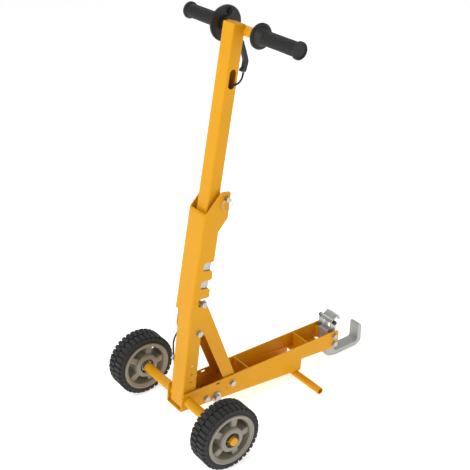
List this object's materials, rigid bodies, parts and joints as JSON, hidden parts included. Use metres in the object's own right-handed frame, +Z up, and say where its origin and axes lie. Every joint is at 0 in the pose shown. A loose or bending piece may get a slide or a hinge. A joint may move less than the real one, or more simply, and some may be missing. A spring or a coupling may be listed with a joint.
{
  "type": "wheel_dolly",
  "caption": "Yellow two-wheeled tow dolly with a boom and catch hook, a folding mast in a notched sleeve, two-hand grips and a release lever",
  "frame": {"origin": "centre of the bounding box on the floor", "axes": "+X forward along the boom to the hook, +Y to the far side along the axle, +Z up"},
  "size_m": [0.6576, 0.437, 0.9868],
  "materials": {
    "yellow_paint": "semi-gloss powder coat",
    "zinc_steel": "bright zinc plate",
    "cast_metal": "light grey coated casting",
    "grip_rubber": "matte moulded",
    "tyre_rubber": "matte solid rubber",
    "rim_plastic": "moulded, lightly textured",
    "black_plastic": "satin black"
  },
  "bodies": {
    "frame": {"axle_clips": "black_plastic", "axle_housing": "yellow_paint", "axle_shaft": "yellow_paint", "axle_washers": "zinc_steel", "base_channel": "yellow_paint", "base_flange_washer": "zinc_steel", "base_pivot_bolt": "zinc_steel", "base_pivot_nut": "zinc_steel", "boom_divider_1": "yellow_paint", "boom_divider_2": "yellow_paint", "boom_divider_3": "yellow_paint", "boom_floor": "yellow_paint", "boom_plate_far": "yellow_paint", "boom_plate_near": "yellow_paint", "brace": "yellow_paint", "cable_ferrule_lower": "zinc_steel", "cable_lower": "black_plastic", "cable_lug": "zinc_steel", "column": "yellow_paint", "foot_tube": "yellow_paint", "frame_bolts": "zinc_steel", "frame_nuts": "zinc_steel", "frame_washers": "zinc_steel", "hook": "cast_metal", "hook_bolts": "zinc_steel", "hook_nuts": "zinc_steel", "hook_spacers": "zinc_steel", "hook_washers": "zinc_steel", "jaw_bracket": "zinc_steel", "jaw_rod": "zinc_steel", "jaw_rod_caps": "black_plastic", "stop_bolt": "zinc_steel", "stop_bolt_nut": "zinc_steel", "stop_bolt_washer": "zinc_steel"},
    "wheel_near": {"tyre_near": "tyre_rubber", "rim_near": "rim_plastic", "bushes_near": "black_plastic"},
    "wheel_far": {"tyre_far": "tyre_rubber", "rim_far": "rim_plastic", "bushes_far": "black_plastic"},
    "handle": {"sleeve": "yellow_paint", "mast_tube": "yellow_paint", "mast_cap": "yellow_paint", "mast_shoe": "zinc_steel", "shoe_rivets": "zinc_steel", "handlebar": "yellow_paint", "grip_near": "grip_rubber", "grip_far": "grip_rubber", "guard_disc": "black_plastic", "guard_screw": "black_plastic", "lever_bracket": "black_plastic", "lever_pin": "black_plastic", "cable_upper": "black_plastic", "cable_end_upper": "zinc_steel"},
    "lever": {"release_lever": "black_plastic"},
    "pin": {"lock_pin": "zinc_steel"},
    "ring": {"pull_ring": "zinc_steel"},
    "catch": {"jaw": "zinc_steel"}
  },
  "joints": [
    {"name": "wheel_near_spin", "type": "hinge", "parent": "frame", "child": "wheel_near", "pos_m": [-0.244, -0.181, 0.08], "axis": [0, 1, 0], "continuous": true},
    {"name": "wheel_far_spin", "type": "hinge", "parent": "frame", "child": "wheel_far", "pos_m": [-0.244, 0.181, 0.08], "axis": [0, 1, 0], "continuous": true},
    {"name": "handle_fold", "type": "hinge", "parent": "frame", "child": "handle", "pos_m": [-0.18981, 0, 0.33429], "axis": [0, 1, 0], "range_deg": [0, 80]},
    {"name": "lever_squeeze", "type": "hinge", "parent": "handle", "child": "lever", "pos_m": [-0.04831, 0, 0.91976], "axis": [0, -1, 0], "range_deg": [0, 20], "stiffness_Nm_per_rad": 0.4, "springref_deg": -11.46},
    {"name": "lock_pin_pull", "type": "slide", "parent": "handle", "child": "pin", "axis": [0, -1, 0], "range_m": [0, 0.06]},
    {"name": "pull_ring_swing", "type": "hinge", "parent": "pin", "child": "ring", "pos_m": [-0.11683, -0.0385, 0.58265], "axis": [-0.9791, 0, 0.2032], "range_deg": [0, 85]},
    {"name": "jaw_lift", "type": "hinge", "parent": "frame", "child": "catch", "pos_m": [0.22455, 0, 0.11317], "axis": [0, -1, 0], "range_deg": [0, 40], "stiffness_Nm_per_rad": 0.3, "springref_deg": -20.05}
  ]
}
